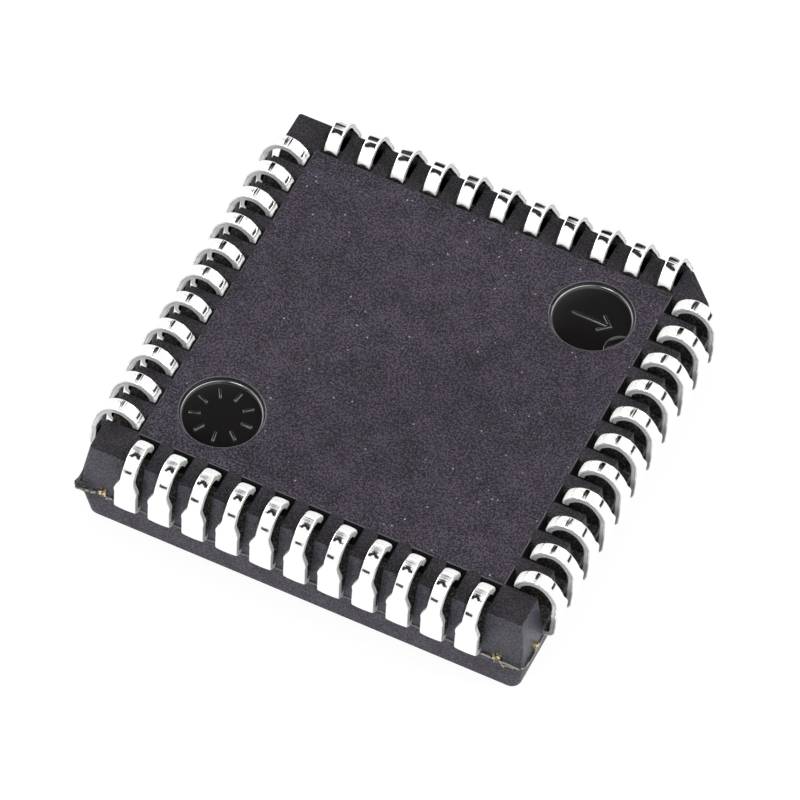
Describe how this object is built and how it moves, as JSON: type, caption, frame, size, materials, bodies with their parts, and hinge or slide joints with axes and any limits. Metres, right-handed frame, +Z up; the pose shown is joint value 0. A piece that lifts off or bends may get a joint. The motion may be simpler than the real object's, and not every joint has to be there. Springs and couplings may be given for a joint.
{
  "type": "leaded chip carrier",
  "caption": "Square moulded plastic chip carrier lying on its marking face, with J-shaped leads that curl up and over along all four sides and one chamfered index corner.",
  "frame": {"origin": "centre of the marking face, which the part lies on", "axes": "+Z up, from the marking face towards the leads; +X and +Y along the sides, with the index chamfer at the corner where both are positive"},
  "size_m": [0.0176, 0.0176, 0.0042],
  "materials": {
    "moulded_epoxy": "matte with a fine grain, polished in the recesses",
    "tin_plate": "bright tin plate on copper alloy",
    "copper_alloy": "bare, sheared",
    "silver_adhesive": "matte",
    "silicon": "polished",
    "gold_wire": "drawn"
  },
  "bodies": {
    "root": {"body": "moulded_epoxy", "die_paddle": "copper_alloy", "die_attach": "silver_adhesive", "die": "silicon", "bond_wires": "gold_wire", "lead_01": "tin_plate", "lead_02": "tin_plate", "lead_03": "tin_plate", "lead_04": "tin_plate", "lead_05": "tin_plate", "lead_06": "tin_plate", "lead_07": "tin_plate", "lead_08": "tin_plate", "lead_09": "tin_plate", "lead_10": "tin_plate", "lead_11": "tin_plate", "lead_12": "tin_plate", "lead_13": "tin_plate", "lead_14": "tin_plate", "lead_15": "tin_plate", "lead_16": "tin_plate", "lead_17": "tin_plate", "lead_18": "tin_plate", "lead_19": "tin_plate", "lead_20": "tin_plate", "lead_21": "tin_plate", "lead_22": "tin_plate", "lead_23": "tin_plate", "lead_24": "tin_plate", "lead_25": "tin_plate", "lead_26": "tin_plate", "lead_27": "tin_plate", "lead_28": "tin_plate", "lead_29": "tin_plate", "lead_30": "tin_plate", "lead_31": "tin_plate", "lead_32": "tin_plate", "lead_33": "tin_plate", "lead_34": "tin_plate", "lead_35": "tin_plate", "lead_36": "tin_plate", "lead_37": "tin_plate", "lead_38": "tin_plate", "lead_39": "tin_plate", "lead_40": "tin_plate", "lead_41": "tin_plate", "lead_42": "tin_plate", "lead_43": "tin_plate", "lead_44": "tin_plate"}
  },
  "joints": []
}
